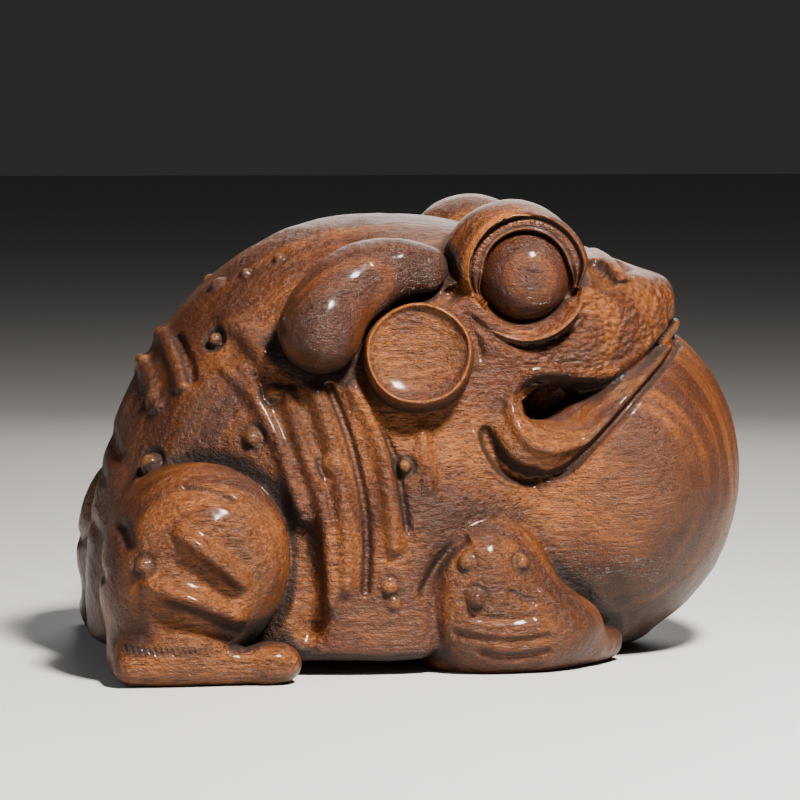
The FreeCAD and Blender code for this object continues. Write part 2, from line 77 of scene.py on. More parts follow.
def crease(a, b, depth, width, k):
    """A union whose meeting line is cut in as a groove."""
    return smooth_min(a, b, k) + depth * np.exp(-(((a - b) / width) ** 2))


def ellipsoid(x, s, z, centre, radii):
    """Distance to an ellipsoid, nearly."""
    px, ps, pz = x - centre[0], s - centre[1], z - centre[2]
    k0 = np.sqrt((px / radii[0]) ** 2 + (ps / radii[1]) ** 2 + (pz / radii[2]) ** 2) + 1e-6
    k1 = np.sqrt((px / radii[0] ** 2) ** 2 + (ps / radii[1] ** 2) ** 2 + (pz / radii[2] ** 2) ** 2) + 1e-6
    return k0 * (k0 - 1.0) / k1


def box_round(x, s, z, low, high, radius):
    """A box with rounded edges."""
    out = []
    for p, a, b in zip((x, s, z), low, high):
        out.append(np.abs(p - (a + b) / 2) - (b - a) / 2 + radius)
    outside = np.sqrt(sum(np.maximum(q, 0.0) ** 2 for q in out))
    return outside + np.minimum(np.maximum(np.maximum(out[0], out[1]), out[2]), 0.0) - radius


def curve_points(points, steps=6):
    """A smooth line (Catmull-Rom) through a few points."""
    p = np.array([points[0], *points, points[-1]], float)
    t = np.linspace(0.0, 1.0, steps, endpoint=False)[:, None]
    spans = []
    for a, b, c, d in zip(p, p[1:], p[2:], p[3:]):
        square, cube = 2 * a - 5 * b + 4 * c - d, 3 * b - a - 3 * c + d
        spans.append(0.5 * (2 * b + (c - a) * t + square * t**2 + cube * t**3))
    return np.vstack([*spans, p[-1:]])


def ramp(value, low, high):
    """A soft step from 0 at low to 1 at high."""
    t = np.clip((value - low) / (high - low), 0.0, 1.0)
    return t * t * (3.0 - 2.0 * t)


def line_distance(x, s, z, points):
    """Distance to a line of points, and how far along it the nearest place is, from 0 to 1."""
    start, run = points[:-1], points[1:] - points[:-1]
    best = np.full(x.shape, 1e9, np.float32)
    where = np.zeros(x.shape, np.float32)
    for i, (a, r) in enumerate(zip(start, run)):
        px, ps, pz = x - a[0], s - a[1], z - a[2]
        t = np.clip((px * r[0] + ps * r[1] + pz * r[2]) / max(float(r @ r), 1e-9), 0.0, 1.0)
        d = (px - r[0] * t) ** 2 + (ps - r[1] * t) ** 2 + (pz - r[2] * t) ** 2
        closer = d < best
        best = np.where(closer, d, best)
        where = np.where(closer, (i + t) / len(run), where)
    return np.sqrt(best), where


TABLE_SIZE = 4096
MIXERS = (73856093, 19349663, 83492791)  # large primes that scatter neighbouring places over the table


def lattice_noise(x, y, z, seed):
    """Smooth noise from -1 to 1 with a period of about one unit."""
    table = np.random.default_rng(seed).uniform(-1.0, 1.0, TABLE_SIZE).astype(np.float32)
    xi, yi, zi = np.floor(x).astype(np.int64), np.floor(y).astype(np.int64), np.floor(z).astype(np.int64)
    fx, fy, fz = (t * t * (3 - 2 * t) for t in (x - xi, y - yi, z - zi))
    total = 0.0
    for dx in (0, 1):
        for dy in (0, 1):
            for dz in (0, 1):
                key = ((xi + dx) * MIXERS[0]) ^ ((yi + dy) * MIXERS[1]) ^ ((zi + dz) * MIXERS[2])
                weight = (fx if dx else 1 - fx) * (fy if dy else 1 - fy) * (fz if dz else 1 - fz)
                total = total + weight * table[key & (TABLE_SIZE - 1)]
    return total


# ---------------------------------------------------------------- the toad's main forms, in millimetres

# Ellipsoids: centre and radii.
TORSO = ((-5.5, 0.0, 8.0), (33.4, 23.4, 44.1))
SAC = ((22.0, 0.0, 20.9), (17.9, 20.4, 20.5))
LOBE = ((11.0, 16.7, 26.0), (5.9, 4.5, 4.9))
THIGH = ((-26.9, 17.6, 13.8), (11.2, 11.0, 10.6))
HAUNCH = ((-29.4, 18.6, 8.0), (8.7, 9.9, 8.4))
SHOULDER = ((5.0, 16.2, 9.0), (9.6, 8.9, 11.0))
FOREARM = ((9.4, 18.0, 4.6), (10.4, 7.2, 5.6))
HIND_TOE = ((-19.8, 25.6, 2.2), (3.3, 3.1, 2.5))
# The hind foot's slab: two opposite corners and the rounding of its edges.
HIND_SOLE = ((-37.8, 18.0, 0.0), (-19.0, 28.2, 4.1), 2.0)
# The forefoot's inner finger: a line of points and its radius.
FINGER, FINGER_RADIUS = np.array([(12.0, 21.0, 2.6), (18.0, 17.5, 2.4), (20.6, 14.5, 2.3)]), 2.3
BELLY = 1.6  # height of the belly over the table
# Eye and eardrum: centre, the way each faces, and the radius and height of the socket cut for it.
EYE = (10.9, 15.4, 45.3)
EYE_AXIS = (-0.12, 0.985, 0.12)
EYE_RADIUS = 5.55
EYE_SOCKET = (6.6, 1.4)
HOOD = ((9.7, 13.6, 45.8), 8.3)
EAR = (-2.3, 20.2, 36.3)
EAR_AXIS = (-0.10, 0.955, 0.28)
EAR_SOCKET = (5.8, -0.6)

# The head from neck to snout: X, centre height, half width, half height.
HEAD = curve_points([
    (-6.0, 36.0, 16.0, 12.0),
    (2.0, 38.0, 19.3, 12.6),
    (10.0, 38.3, 19.5, 11.8),
    (18.0, 38.4, 18.2, 10.0),
    (22.0, 38.8, 16.6, 8.7),
    (25.0, 39.5, 14.5, 7.0),
    (28.0, 40.4, 11.6, 5.1),
    (30.0, 41.0, 8.8, 3.8),
    (31.4, 41.2, 6.4, 3.0),
    (33.0, 41.4, 3.0, 2.0),
])
HEAD_POWER = 2.5  # 2 gives elliptical sections, and more gives squarer ones
SNOUT = 31.2  # where the snout's blunt tip is cut
JAW_AHEAD, JAW_DROP, JAW_NARROW = 0.6, 0.8, 0.985  # the lower jaw's place against the upper one
JAW_START = 10.5  # where the lower jaw's band begins
# The upper lip's edge in the side view, from the corner of the mouth to the snout.
LIP = np.array([(9.3, 32.6), (11.4, 33.5), (14.3, 33.4), (17.1, 32.9), (19.8, 32.8), (22.0, 33.6),
                (24.9, 35.3), (27.1, 36.8), (29.0, 38.4), (30.6, 39.8), (33.0, 40.8)])
# The raised rims along both lips, and the lower edge of the lower jaw.
UPPER_RIDGE = [(29.4, 39.6), (27.1, 37.6), (24.9, 36.0), (22.2, 34.5), (19.8, 33.6), (17.1, 33.7), (14.3, 34.2),
               (11.2, 34.1), (9.1, 32.6)]
LOWER_LIP = [(8.7, 30.6), (9.3, 28.0), (11.0, 26.2), (13.6, 25.5), (17.2, 26.4), (19.4, 28.4), (21.7, 30.5),
             (24.8, 33.2), (27.6, 35.2), (30.2, 37.4)]
CHIN = np.array([(9.0, 22.6), (12.0, 22.2), (14.6, 22.6), (17.2, 24.6), (20.5, 27.9), (23.8, 31.2),
                 (28.2, 34.7), (31.2, 36.8), (34.0, 38.6)])


def head_section(x, s, z):
    """How far out of the head's section a place lies (1 is on it), with the section's sizes."""
    at = np.clip(x, HEAD[0, 0], HEAD[-1, 0])
    centre, wide, high = (np.interp(at, HEAD[:, 0], HEAD[:, i]) for i in (1, 2, 3))
    n = HEAD_POWER
    return ((s / wide) ** n + (np.abs(z - centre) / high) ** n + 1e-9) ** (1 / n), wide, high, centre


def head_form(x, s, z):
    """Skull and snout, as rounded sections along X."""
    k0, wide, high, centre = head_section(x, s, z)
    n = HEAD_POWER
    step = 0.25
    gx = (head_section(x + step, s, z)[0] - k0) / step
    gs = (s / wide) ** (n - 1) / wide * k0 ** (1 - n)
    gz = (np.abs(z - centre) / high) ** (n - 1) / high * k0 ** (1 - n)
    across = np.sqrt(gs**2 + gz**2) + 1e-3
    slope = np.sqrt(np.minimum(np.abs(gx), 1.2 * across) ** 2 + across**2)
    body = np.clip((k0 - 1.0) / slope, -8.0, 40.0) + np.maximum(HEAD[0, 0] - x, 0.0)
    return smooth_max(body, x - SNOUT, 1.2)


def around_axis(x, s, z, centre, axis):
    """Distance from an axis and height along it."""
    axis = np.array(axis) / np.linalg.norm(axis)
    px, ps, pz = x - centre[0], s - centre[1], z - centre[2]
    h = px * axis[0] + ps * axis[1] + pz * axis[2]
    return np.sqrt(np.maximum(px**2 + ps**2 + pz**2 - h**2, 0.0)), h


def gland_line():
    """The gland's middle line: an arc about the eardrum that leans in with the back."""
    places = 16
    turn = np.radians(np.linspace(163.0, 83.0, places))
    lean = math.radians(24.0)
    reach = np.linspace(11.6, 10.5, places)
    rise = reach * np.sin(turn)
    along = EAR[0] + reach * np.cos(turn)
    return np.column_stack([along, EAR[1] - rise * math.sin(lean), EAR[2] + rise * math.cos(lean)])


GLAND_LINE = gland_line()


def gland_form(x, s, z):
    """The gland: a fat roll along its line that thins toward the eye."""
    d, t = line_distance(x, s, z, GLAND_LINE)
    return d - np.interp(t, (0.0, 0.55, 1.0), (4.9, 4.5, 3.1))


def base_forms(x, s, z):
    """Each main form's own field."""
    forms = {}
    forms["torso"] = smooth_max(ellipsoid(x, s, z, *TORSO), BELLY - z, 2.0)
    lip, chin = np.interp(x, LIP[:, 0], LIP[:, 1]), np.interp(x, CHIN[:, 0], CHIN[:, 1])
    below = ramp(lip - z, -0.1, 0.5) * ramp(x, 13.0, 20.0)
    forms["head"] = head_form(x, s, z) + 0.8 * below
    band = smooth_max(head_form(x - JAW_AHEAD, s * JAW_NARROW, z + JAW_DROP), z - lip + 0.30, 0.9)
    forms["lower_jaw"] = np.maximum(smooth_max(band, chin - z, 1.4), JAW_START - x)
    forms["vocal_sac"] = ellipsoid(x, s, z, *SAC)
    forms["jaw_lobe"] = ellipsoid(x, s, z, *LOBE)
    forms["thigh"] = smooth_min(ellipsoid(x, s, z, *THIGH), ellipsoid(x, s, z, *HAUNCH), 4.0)
    forms["foreleg"] = ellipsoid(x, s, z, *SHOULDER)
    forms["hind_foot"] = smooth_min(box_round(x, s, z, *HIND_SOLE), ellipsoid(x, s, z, *HIND_TOE), 1.0)
    finger = line_distance(x, s, z, FINGER)[0] - FINGER_RADIUS
    forms["forefoot"] = smooth_min(ellipsoid(x, s, z, *FOREARM), finger, 1.5)
    forms["ear_gland"] = gland_form(x, s, z)
    (cx, cs, cz), radius = HOOD
    forms["upper_lid"] = np.sqrt((x - cx) ** 2 + (s - cs) ** 2 + (z - cz) ** 2) - radius
    return forms


def join_forms(x, s, z):
    """The smooth body before any line or wart is carved."""
    f = base_forms(x, s, z)
    total = smooth_min(f["torso"], f["head"], 4.0)
    total = smooth_min(total, f["vocal_sac"], 1.0 + 2.5 * ramp(26.0 - z, 0.0, 6.0))
    total = smooth_min(total, f["jaw_lobe"], 1.5)
    total = crease(total, f["lower_jaw"], 0.25, 0.3, 0.5)
    rear = ramp(-26.0 - x, 0.0, 8.0)
    total = crease(total, f["thigh"], 0.9 * (1.0 - rear), 1.0, 1.0 + 4.0 * rear)
    total = crease(total, smooth_min(f["foreleg"], f["forefoot"], 4.0), 0.7, 0.8, 1.2)
    joined = ramp(-21.0 - x, 0.0, 6.0)
    groove = 0.7 * (1 - joined) * np.exp(-(((total - f["hind_foot"]) / 0.6) ** 2))
    total = smooth_min(total, f["hind_foot"], 1.0 + 3.0 * joined) + groove
    total = crease(total, f["upper_lid"], 0.5, 0.8, 1.6)
    total = crease(total, f["ear_gland"], 0.9, 0.5, 0.4)
    rho, h = around_axis(x, s, z, EYE, EYE_AXIS)
    total = total + 0.9 * np.exp(-(((rho - 8.1) / 0.7) ** 2)) * ramp(EYE[2] - z, 2.5, 5.5) * (h > 0)
    total = np.maximum(total, -np.maximum(rho - EYE_SOCKET[0], EYE_SOCKET[1] - h))
    rho, h = around_axis(x, s, z, EAR, EAR_AXIS)
    total = np.maximum(total, -np.maximum(rho - EAR_SOCKET[0], EAR_SOCKET[1] - h))
    return np.maximum(total, -z)


# ---------------------------------------------------------------- carved lines, warts and folds

# Each line: piece it belongs to, height over the skin (below it if negative), half width, points (X, Z).
LINES = [
    ("neck_folds", 1.5, 1.0, [(-14.5, 33.7), (-12.5, 27.0), (-11.1, 18.0), (-11.2, 8.9)]),
    ("neck_folds", 1.5, 1.0, [(-10.5, 34.2), (-7.4, 28.1), (-5.9, 20.2), (-5.5, 13.4)]),
    ("neck_folds", 1.25, 0.85, [(-17.3, 33.1), (-15.9, 26.9), (-13.3, 18.0), (-12.9, 6.6)]),
    ("neck_folds", 1.05, 0.85, [(-21.2, 32.4), (-18.1, 25.8), (-16.1, 18.0)]),
    ("neck_folds", 1.0, 0.85, [(-2.1, 29.1), (-1.3, 20.1)]),
    (None, -0.9, 0.5, [(-12.6, 33.5), (-10.3, 27.0), (-8.6, 18.0), (-8.8, 9.0)]),
    (None, -0.8, 0.5, [(-8.3, 30.5), (-5.3, 25.0), (-3.9, 16.0)]),
    ("back_ridges", 1.5, 1.3, [(-24.4, 39.2), (-22.0, 39.5), (-20.3, 37.4), (-18.2, 34.4)]),
    ("back_ridges", 0.7, 0.7, [(-24.4, 35.4), (-22.0, 32.9), (-20.0, 31.4)]),
    ("back_ridges", 0.6, 0.6, [(-22.5, 35.8), (-20.2, 32.0)]),
    ("back_ridges", 1.0, 0.8, [(-30.2, 38.8), (-29.2, 35.6), (-28.6, 31.8)]),
    ("back_ridges", 1.0, 0.8, [(-32.8, 36.0), (-31.8, 32.6), (-31.4, 29.2)]),
    (None, -0.9, 0.6, [(-28.6, 38.4), (-27.6, 35.4), (-27.2, 32.6)]),
    ("thigh", 1.2, 0.8, [(-31.2, 17.8), (-28.6, 16.1), (-25.8, 13.8), (-22.4, 11.0)]),
    ("thigh", 1.25, 0.9, [(-35.0, 12.0), (-31.2, 10.6), (-27.4, 9.3), (-22.6, 7.2)]),
    (None, -0.9, 1.5, [(-33.8, 9.0), (-28.4, 7.2), (-23.2, 5.4)]),
    (None, -0.8, 1.5, [(-33.0, 15.0), (-28.6, 12.6), (-23.2, 9.2)]),
    (None, -0.6, 1.1, [(-27.4, 17.6), (-24.6, 15.4), (-22.0, 12.8)]),
    (None, -0.6, 0.5, [(-30.2, 21.9), (-27.0, 21.6), (-23.8, 20.2)]),
    (None, -1.5, 1.6, [(-16.2, 18.0), (-15.2, 12.0), (-14.9, 6.0), (-14.9, 1.0)]),
    (None, 0.9, 0.7, UPPER_RIDGE + LOWER_LIP),
    (None, -0.9, 0.45, [(11.0, 22.1), (14.6, 22.6), (17.2, 24.6), (20.5, 27.9), (23.8, 31.2), (28.2, 34.9),
                        (31.2, 37.0)]),
    (None, -2.0, 0.85, [(5.5, 28.4), (6.1, 26.2), (7.2, 24.2), (8.8, 22.8), (10.6, 22.2), (12.4, 22.3)]),
    (None, 0.5, 0.45, [(4.3, 28.0), (5.0, 25.6), (6.1, 23.6), (7.8, 21.9), (10.0, 21.3)]),
    ("head", 0.7, 1.2, [(3.9, 42.2), (6.2, 38.7), (9.6, 35.6)]),
    (None, -0.5, 0.5, [(2.9, 41.0), (4.6, 38.2), (5.2, 35.4)]),
    (None, -1.8, 1.1, [(1.6, 44.4), (2.3, 42.3)]),
    ("foreleg", 0.4, 1.7, [(4.8, 15.6), (5.6, 12.6), (6.4, 8.6)]),
    (None, -0.8, 0.6, [(3.4, 15.6), (1.6, 14.6), (-0.9, 11.9), (-2.6, 8.4)]),
    ("forefoot", 0.35, 0.35, [(10.9, 9.7), (13.4, 8.0), (15.5, 5.6)]),
    (None, -0.4, 0.4, [(6.9, 9.9), (10.9, 8.1)]),
    (None, -0.42, 0.6, [(2.4, 7.2), (6.6, 6.5), (11.4, 7.0)]),
    (None, -0.34, 0.5, [(0.8, 5.2), (6.6, 4.0), (13.2, 4.5)]),
    (None, -0.30, 0.45, [(3.6, 2.9), (8.2, 2.2), (12.8, 2.8)]),
    (None, -2.6, 1.0, [(19.7, 47.0), (20.6, 45.2), (21.6, 43.2)]),
    (None, 1.2, 0.8, [(21.6, 47.6), (22.4, 46.2), (23.1, 44.2)]),
    (None, -1.6, 0.8, [(23.6, 46.7), (24.6, 45.3)]),
    (None, -0.8, 0.9, [(-38.2, 24.5), (-37.2, 20.0)]),
    (None, -0.8, 0.9, [(-36.6, 27.5), (-35.4, 23.0)]),
    (None, -0.8, 0.9, [(-38.6, 16.5), (-38.3, 11.0)]),
    (None, -0.8, 0.9, [(-36.6, 18.5), (-35.6, 14.5)]),
]
# Short toe cuts along the hind foot.
LINES += [(None, -0.16, 0.2, [(x, 4.7), (x + 0.5, 3.5)]) for x in np.arange(-36.6, -24.0, 0.62).tolist()]
# Each wart: piece, X, Z, radius, and the depth of the ring round it.
WARTS = [
    ("flank_warts", -24.6, 38.0, 0.7, 0.9),
    ("flank_warts", -32.4, 23.8, 1.0, 0.6),
    ("flank_warts", -31.7, 30.9, 0.7, 0.5),
    ("flank_warts", -21.2, 27.0, 0.85, 0.3),
    ("flank_warts", -12.3, 24.2, 1.0, 0.3),
    ("flank_warts", -4.2, 23.9, 0.65, 0.5),
    ("flank_warts", -6.1, 10.2, 0.7, 0.3),
    ("flank_warts", -5.6, 8.4, 0.55, 0.1),
    ("flank_warts", -18.5, 32.1, 0.75, 0.2),
    ("flank_warts", -16.7, 47.2, 0.5, 0.3),
    ("flank_warts", -20.6, 45.4, 0.5, 0.3),
    ("flank_warts", -23.6, 44.0, 0.8, 0.1),
    ("thigh_warts", -34.5, 13.6, 0.75, 0.3),
    ("arm_warts", 2.6, 13.0, 0.7, 0.35),
    ("arm_warts", 3.6, 8.9, 0.8, 0.35),
    ("arm_warts", 9.2, 12.9, 0.7, 0.35),
]
# Hollows: depth, softness of the edge, outline (X, Z).
HOLLOWS = [
    (1.3, 1.6, [(10.0, 32.6), (10.0, 29.0), (12.0, 27.2), (14.0, 26.8), (17.0, 27.6), (19.6, 30.0),
                (23.0, 33.4), (19.8, 32.9), (14.3, 33.3)]),
    (2.5, 1.3, [(9.9, 32.6), (9.9, 29.4), (11.2, 27.9), (13.6, 28.3), (16.6, 30.3), (17.8, 31.6),
                (14.3, 33.2)]),
    (0.5, 0.8, [(14.0, 29.4), (18.1, 30.6), (22.2, 32.9), (24.6, 34.9), (22.0, 33.7), (19.8, 33.0),
                (14.3, 33.2)]),
]


FLATTEN = 0.45  # a line's width is measured mostly across the side view
WIDEST = 31.0  # past the toad's side
# A wart's ring: how far out it runs in wart radii, its half width, and its share of the given depth.
RING_REACH, RING_WIDTH, RING_SHARE = 1.6, 0.42, 0.6
# Unevenness left by the knife: height, length of a ripple, seed.
RIPPLES = ((0.10, 3.1, 5), (0.035, 1.2, 6))


def lay_on_skin(points):
    """The same points with the side at which the smooth body's skin lies."""
    side = np.arange(0.0, WIDEST, 0.1)
    out = []
    for px, pz in points:
        inside = join_forms(np.full(side.shape, px), side, np.full(side.shape, pz)) < 0
        out.append((px, side[inside].max() if inside.any() else 0.0, pz))
    return np.array(out)


LINES = [(piece, height, width, curve_points(lay_on_skin(points), 3)) for piece, height, width, points in LINES]
WARTS = [(piece, lay_on_skin([(px, pz)])[0], radius, ring) for piece, px, pz, radius, ring in WARTS]
HOLLOWS = [(depth, soft, np.array(edge), lay_on_skin(edge)[:, 1].min()) for depth, soft, edge in HOLLOWS]


def near_box(x, s, z, points, reach):
    """Which places are within reach of the points, with more room across the mid-plane than along it."""
    room = np.array((1.0, 2.2, 1.0)) * reach
    low, high = points.min(axis=0) - room, points.max(axis=0) + room
    return (x > low[0]) & (x < high[0]) & (s > low[1]) & (s < high[1]) & (z > low[2]) & (z < high[2])


def outline_distance(x, z, outline):
    """Distance to a closed outline in the side view, negative inside."""
    best = np.full(x.shape, 1e9)
    inside = np.zeros(x.shape, bool)
    for (ax, az), (bx, bz) in zip(outline, np.roll(outline, -1, axis=0)):
        t = np.clip(((x - ax) * (bx - ax) + (z - az) * (bz - az)) / ((bx - ax) ** 2 + (bz - az) ** 2), 0.0, 1.0)
        best = np.minimum(best, np.hypot(x - ax - t * (bx - ax), z - az - t * (bz - az)))
        crosses = ((az > z) != (bz > z)) & (x < ax + (z - az) * (bx - ax) / (bz - az + 1e-12))
        inside ^= crosses
    return np.where(inside, -best, best)


def field(x, y, z):
    """The carved toad: negative inside the wood, in millimetres."""
    s = np.abs(y)
    total = join_forms(x, s, z)
    total += sum(height * lattice_noise(x / size, s / size, z / size, seed) for height, size, seed in RIPPLES)
    for depth, soft, outline, side in HOLLOWS:
        (left, bottom), (right, top) = outline.min(axis=0), outline.max(axis=0)
        near = near_box(x, s, z, np.array([(left, side - 3.0, bottom), (right, WIDEST, top)]), 0.2)
        d = outline_distance(x[near], z[near], outline)
        total[near] += depth * ramp(-d, 0.0, soft)
    for _, height, width, points in LINES:
        near = near_box(x, s, z, points, 3.0 * width)
        d, t = line_distance(x[near], FLATTEN * s[near], z[near], points * (1.0, FLATTEN, 1.0))
        length = np.linalg.norm(np.diff(points, axis=0), axis=1).sum()
        fade = min(0.45, 2.5 * width / length)
        total[near] -= height * ramp(np.minimum(t, 1.0 - t), -0.1 * fade, fade) * np.exp(-((d / width) ** 2))
    for _, centre, radius, ring in WARTS:
        near = near_box(x, s, z, centre[None], 4.0 * radius)
        d = np.sqrt((x[near] - centre[0]) ** 2 + (s[near] - centre[1]) ** 2 + (z[near] - centre[2]) ** 2)
        groove = RING_SHARE * ring * np.exp(-(((d - RING_REACH * radius) / RING_WIDTH) ** 2))
        total[near] = smooth_min(total[near] + groove, d - radius, 0.9)
    return total


PIECES = ["torso", "head", "lower_jaw", "vocal_sac", "jaw_lobe", "thigh", "foreleg", "hind_foot", "forefoot",
          "ear_gland", "upper_lid", "neck_folds", "back_ridges", "flank_warts", "thigh_warts", "arm_warts"]
CENTRAL = {"torso", "head", "lower_jaw", "vocal_sac"}


def owner(x, y, z):
    """Which piece each place on the skin belongs to."""
    s = np.abs(y)
    forms = base_forms(x, s, z)
    names = [name for name in PIECES if name in forms]
    numbers = np.array([PIECES.index(name) for name in names])
    label = numbers[np.argmin(np.stack([forms[name] for name in names]), axis=0)]
    below = (z < np.interp(x, LIP[:, 0], LIP[:, 1])) & (x > LIP[0, 0]) & (label == PIECES.index("head"))
    label[below] = PIECES.index("lower_jaw")
    for piece, _, width, points in LINES:
        if piece in ("neck_folds", "back_ridges"):
            near = np.flatnonzero(near_box(x, s, z, points, width))
            d, t = line_distance(x[near], s[near], z[near], points)
            label[near[(d < 0.8 * width) & (t > 0.0) & (t < 1.0)]] = PIECES.index(piece)
    for piece, centre, radius, _ in WARTS:
        d = np.sqrt((x - centre[0]) ** 2 + (s - centre[1]) ** 2 + (z - centre[2]) ** 2)
        label[d < 1.5 * radius] = PIECES.index(piece)
    return label


# ---------------------------------------------------------------- from the field to a mesh

CELL = 0.28  # size of a grid cell
BLOCK = 4  # cells along a block's edge
QUAD = 4  # corners of one face of the skin
GRID_LOW, GRID_HIGH = np.array((-41.0, -30.0, -1.1)), np.array((41.0, 30.0, 55.0))
# Reach and weight of the probes that tell how enclosed a place is, for its painted shade, and how worn it is.
SHADE_PROBES = ((0.5, 0.35), (1.2, 0.35), (2.8, 0.3), (6.0, 0.25))
WORN_PROBES = ((0.5, 0.45), (1.2, 0.45))


def sample_volume():
    """The field on a grid, worked out finely only near the skin."""
    count = np.ceil((GRID_HIGH - GRID_LOW) / (CELL * BLOCK)).astype(int)
    blocks = np.stack(np.meshgrid(*(np.arange(n) for n in count), indexing="ij"), -1).reshape(-1, 3)
    middle = GRID_LOW + (blocks * BLOCK + (BLOCK - 1) / 2) * CELL
    value = field(*middle.T)
    volume = np.empty((count[0], BLOCK, count[1], BLOCK, count[2], BLOCK), np.float32)
    volume[:] = value.reshape(count)[:, None, :, None, :, None]
    fine = blocks[np.abs(value) < BLOCK * CELL + 1.2]
    steps = np.stack(np.meshgrid(*(np.arange(BLOCK),) * 3, indexing="ij"), -1).reshape(1, -1, 3)
    for part in np.array_split(fine, 8):
        samples = part[:, None, :] * BLOCK + steps
        where = (GRID_LOW + samples * CELL).reshape(-1, 3)
        exact = field(*where.T).reshape(len(part), BLOCK, BLOCK, BLOCK)
        volume[part[:, 0], :, part[:, 1], :, part[:, 2], :] = exact
    return volume.reshape(count * BLOCK)


def surface_nets(volume):
    """Quads through the cells the skin passes."""
    inside = volume < 0
    corners = [(a, b, c) for a in (0, 1) for b in (0, 1) for c in (0, 1)]
    size = np.array(volume.shape) - 1
    filled = sum(inside[a:a + size[0], b:b + size[1], c:c + size[2]].astype(np.uint8) for a, b, c in corners)
    active = (filled > 0) & (filled < len(corners))
    number = np.full(active.shape, -1, np.int32)
    cells = np.argwhere(active)
    number[active] = np.arange(len(cells))
    total = np.zeros((len(cells), 3))
    hits = np.zeros(len(cells))
    for a in corners:
        for axis in range(3):
            if a[axis] == 0:
                step = np.eye(3, dtype=int)[axis]
                va = volume[tuple((cells + a).T)]
                vb = volume[tuple((cells + a + step).T)]
                cross = (va < 0) != (vb < 0)
                t = np.where(cross, va / np.where(cross, va - vb, 1.0), 0.0)
                total += np.where(cross[:, None], np.array(a) + t[:, None] * step, 0.0)
                hits += cross
    vertices = GRID_LOW + CELL * (cells + total / hits[:, None])
    quads = []
    for axis in range(3):
        step, u, v = np.eye(3, dtype=int)[[axis, (axis + 1) % 3, (axis + 2) % 3]]
        here = inside[tuple(slice(0, n) for n in inside.shape - step)]
        there = inside[tuple(slice(k, None) for k in step)]
        edges = np.argwhere(here != there)
        edges = edges[(edges[:, (axis + 1) % 3] > 0) & (edges[:, (axis + 2) % 3] > 0)]
        ring = np.stack([number[tuple((edges - shift).T)] for shift in (u * 0, u, u + v, v)], axis=1)
        outward = inside[tuple(edges.T)]
        quads.append(np.where(outward[:, None], ring, ring[:, ::-1]))
    return vertices, np.vstack(quads)


def gradient(points, step=0.08):
    """The field's outward direction and steepness."""
    parts = []
    for axis in range(3):
        shift = np.eye(3)[axis] * step
        parts.append(field(*(points + shift).T) - field(*(points - shift).T))
    g = np.stack(parts, axis=1) / (2 * step)
    return g / (np.linalg.norm(g, axis=1, keepdims=True) + 1e-9), np.linalg.norm(g, axis=1)


def settle(vertices):
    """Pull the vertices onto the skin and give their normals, the painted shade of each place, and how worn
    each place is.
    """
    for _ in range(2):
        normal, slope = gradient(vertices)
        move = field(*vertices.T) / np.maximum(slope, 0.5)
        vertices = vertices - normal * np.clip(move, -0.4 * CELL, 0.4 * CELL)[:, None]
    normal, _ = gradient(vertices)
    painted_shade = np.zeros(len(vertices))
    worn = np.zeros(len(vertices))
    # painted shade: the more wood closes round a place, the darker its colour
    for reach, weight in SHADE_PROBES:
        painted_shade += weight * np.clip(1.0 - field(*(vertices + normal * reach).T) / reach, 0.0, 1.5)
    for reach, weight in WORN_PROBES:
        worn += weight * np.clip(1.0 + field(*(vertices - normal * reach).T) / reach, 0.0, 1.5)
    painted_shade += 0.35 * ramp(-normal[:, 2], 0.2, 0.95)  # painted shade: the underside is darker too, as if in shadow
    return vertices, normal, np.clip(painted_shade, 0, 1), np.clip(worn, 0, 1)


def edge_pairs(quads):
    """Faces on either side of each edge."""
    a = quads.ravel()
    b = np.roll(quads, -1, axis=1).ravel()
    key = np.minimum(a, b).astype(np.int64) * (a.max() + 1) + np.maximum(a, b)
    order = np.argsort(key, kind="stable")
    same = key[order][1:] == key[order][:-1]
    return order[:-1][same] // QUAD, order[1:][same] // QUAD


def smooth_labels(quads, label, rounds=4):
    """Straighten ragged borders: a face surrounded by another piece joins it."""
    one, two = edge_pairs(quads)
    for _ in range(rounds):
        votes = np.zeros((len(quads), label.max() + 1), np.int8)
        np.add.at(votes, (one, label[two]), 1)
        np.add.at(votes, (two, label[one]), 1)
        best = votes.argmax(axis=1)
        label = np.where(votes[np.arange(len(quads)), best] >= QUAD - 1, best, label)
    return label


def close_patch(quads, vertices, normals):
    """Inner triangles that close a patch: each border loop runs to one place under the skin."""
    a = quads.ravel()
    b = np.roll(quads, -1, axis=1).ravel()
    key = np.minimum(a, b).astype(np.int64) * len(vertices) + np.maximum(a, b)
    edges, which = np.unique(key, return_inverse=True)
    balance = np.bincount(which, np.where(a < b, 1, -1)).astype(int)
    following = {}
    for edge, net in zip(edges[balance != 0].tolist(), balance[balance != 0].tolist()):
        ends = divmod(edge, len(vertices))
        start, end = ends if net > 0 else ends[::-1]
        following.setdefault(start, []).extend([end] * abs(net))
    extra, triangles = [], []
    while following:
        first = next(iter(following))
        loop = [first]
        while True:
            ends = following[loop[-1]]
            step = ends.pop()
            if not ends:
                del following[loop[-1]]
            if step == first:
                break
            loop.append(step)
        ring = vertices[loop]
        middle = ring.mean(axis=0)
        radius = np.linalg.norm(ring - middle, axis=1).mean()
        tip = len(vertices) + len(extra)
        extra.append(middle - normals[loop].mean(axis=0) * 0.5 * radius)
        triangles += [(q, p, tip) for p, q in zip(loop, loop[1:] + loop[:1])]
    return np.array(extra).reshape(-1, 3), triangles


